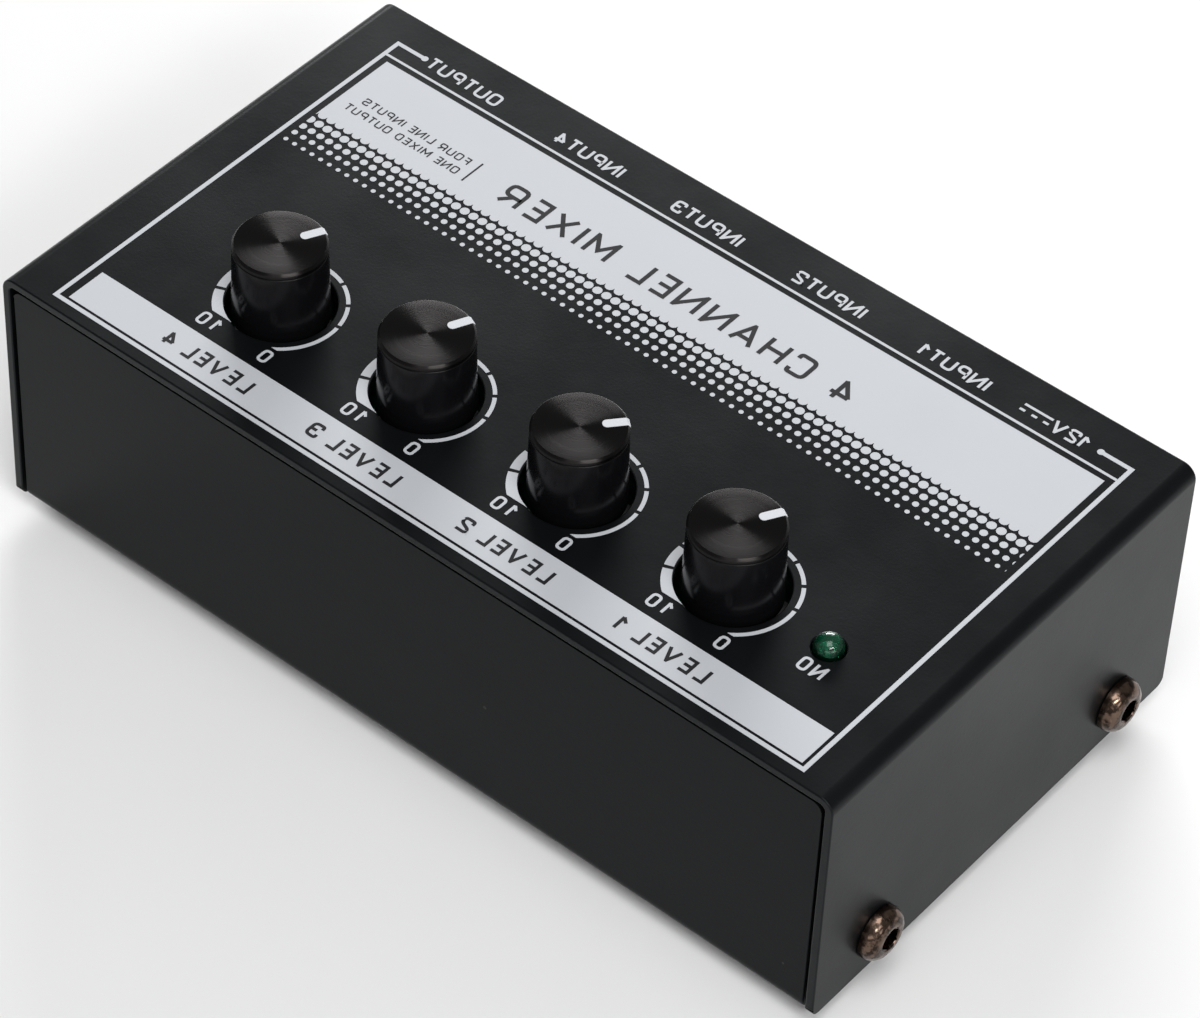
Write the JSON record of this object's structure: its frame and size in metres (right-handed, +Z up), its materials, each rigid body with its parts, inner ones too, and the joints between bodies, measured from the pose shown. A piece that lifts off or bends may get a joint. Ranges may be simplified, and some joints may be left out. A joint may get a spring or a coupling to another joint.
{
  "type": "line mixing console",
  "caption": "Small steel-boxed line mixer with a row of level knobs on top, a power light, and jack sockets and a power inlet at the back.",
  "frame": {"origin": "centre of the outer box's footprint, on the plane the rubber feet stand on", "axes": "+Z up, +X to the right along the front (towards the power light), +Y towards the back with the sockets"},
  "size_m": [0.1388, 0.0774, 0.052],
  "materials": {
    "black_powder_paint": "satin black powder coat",
    "gloss_black_plastic": "gloss",
    "spun_black_metal": "spun, black anodised",
    "bronze_plated_steel": "dark bronze plating",
    "bright_steel": "bright plating",
    "brass": "machined",
    "black_rubber": "matte",
    "black_moulding": "matte moulding",
    "board_green": "solder mask over glass laminate",
    "green_lens": "tinted clear epoxy",
    "can_sleeve": "shrink sleeve"
  },
  "bodies": {
    "box": {"cover": "black_powder_paint", "chassis": "black_powder_paint", "foot_front_left": "black_rubber", "foot_front_right": "black_rubber", "foot_back_left": "black_rubber", "foot_back_right": "black_rubber", "screw_left_front": "bronze_plated_steel", "screw_left_back": "bronze_plated_steel", "screw_right_front": "bronze_plated_steel", "screw_right_back": "bronze_plated_steel", "pot_body_1": "bright_steel", "capacitor_1": "can_sleeve", "pot_body_2": "bright_steel", "capacitor_2": "can_sleeve", "pot_body_3": "bright_steel", "capacitor_3": "can_sleeve", "pot_body_4": "bright_steel", "capacitor_4": "can_sleeve", "power_light": "green_lens", "jack_input_1": "black_moulding", "washer_input_1": "bright_steel", "nut_input_1": "bright_steel", "jack_input_2": "black_moulding", "washer_input_2": "bright_steel", "nut_input_2": "bright_steel", "jack_input_3": "black_moulding", "washer_input_3": "bright_steel", "nut_input_3": "bright_steel", "jack_input_4": "black_moulding", "washer_input_4": "bright_steel", "nut_input_4": "bright_steel", "jack_output": "black_moulding", "washer_output": "bright_steel", "nut_output": "bright_steel", "power_socket": "black_moulding", "power_pin": "bright_steel", "board": "board_green", "pillar_left": "brass", "base_screw_left": "bright_steel", "board_screw_left": "bright_steel", "pillar_right": "brass", "base_screw_right": "bright_steel", "board_screw_right": "bright_steel", "amplifier_chip_1": "black_moulding", "amplifier_chip_2": "black_moulding", "regulator": "black_moulding"},
    "knob_1_set": {"knob_1": "gloss_black_plastic", "knob_cap_1": "spun_black_metal", "pot_shaft_1": "bright_steel"},
    "knob_2_set": {"knob_2": "gloss_black_plastic", "knob_cap_2": "spun_black_metal", "pot_shaft_2": "bright_steel"},
    "knob_3_set": {"knob_3": "gloss_black_plastic", "knob_cap_3": "spun_black_metal", "pot_shaft_3": "bright_steel"},
    "knob_4_set": {"knob_4": "gloss_black_plastic", "knob_cap_4": "spun_black_metal", "pot_shaft_4": "bright_steel"}
  },
  "joints": [
    {"name": "level_1_turn", "type": "hinge", "parent": "box", "child": "knob_1_set", "pos_m": [0.03617, -0.0188, 0.04165], "axis": [0, 0, 1], "range_deg": [-120.3, 179.7]},
    {"name": "level_2_turn", "type": "hinge", "parent": "box", "child": "knob_2_set", "pos_m": [0.01172, -0.0188, 0.04165], "axis": [0, 0, 1], "range_deg": [-109.6, 190.4]},
    {"name": "level_3_turn", "type": "hinge", "parent": "box", "child": "knob_3_set", "pos_m": [-0.01273, -0.0188, 0.04165], "axis": [0, 0, 1], "range_deg": [-125, 175]},
    {"name": "level_4_turn", "type": "hinge", "parent": "box", "child": "knob_4_set", "pos_m": [-0.03717, -0.0188, 0.04165], "axis": [0, 0, 1], "range_deg": [-123.6, 176.4]}
  ]
}
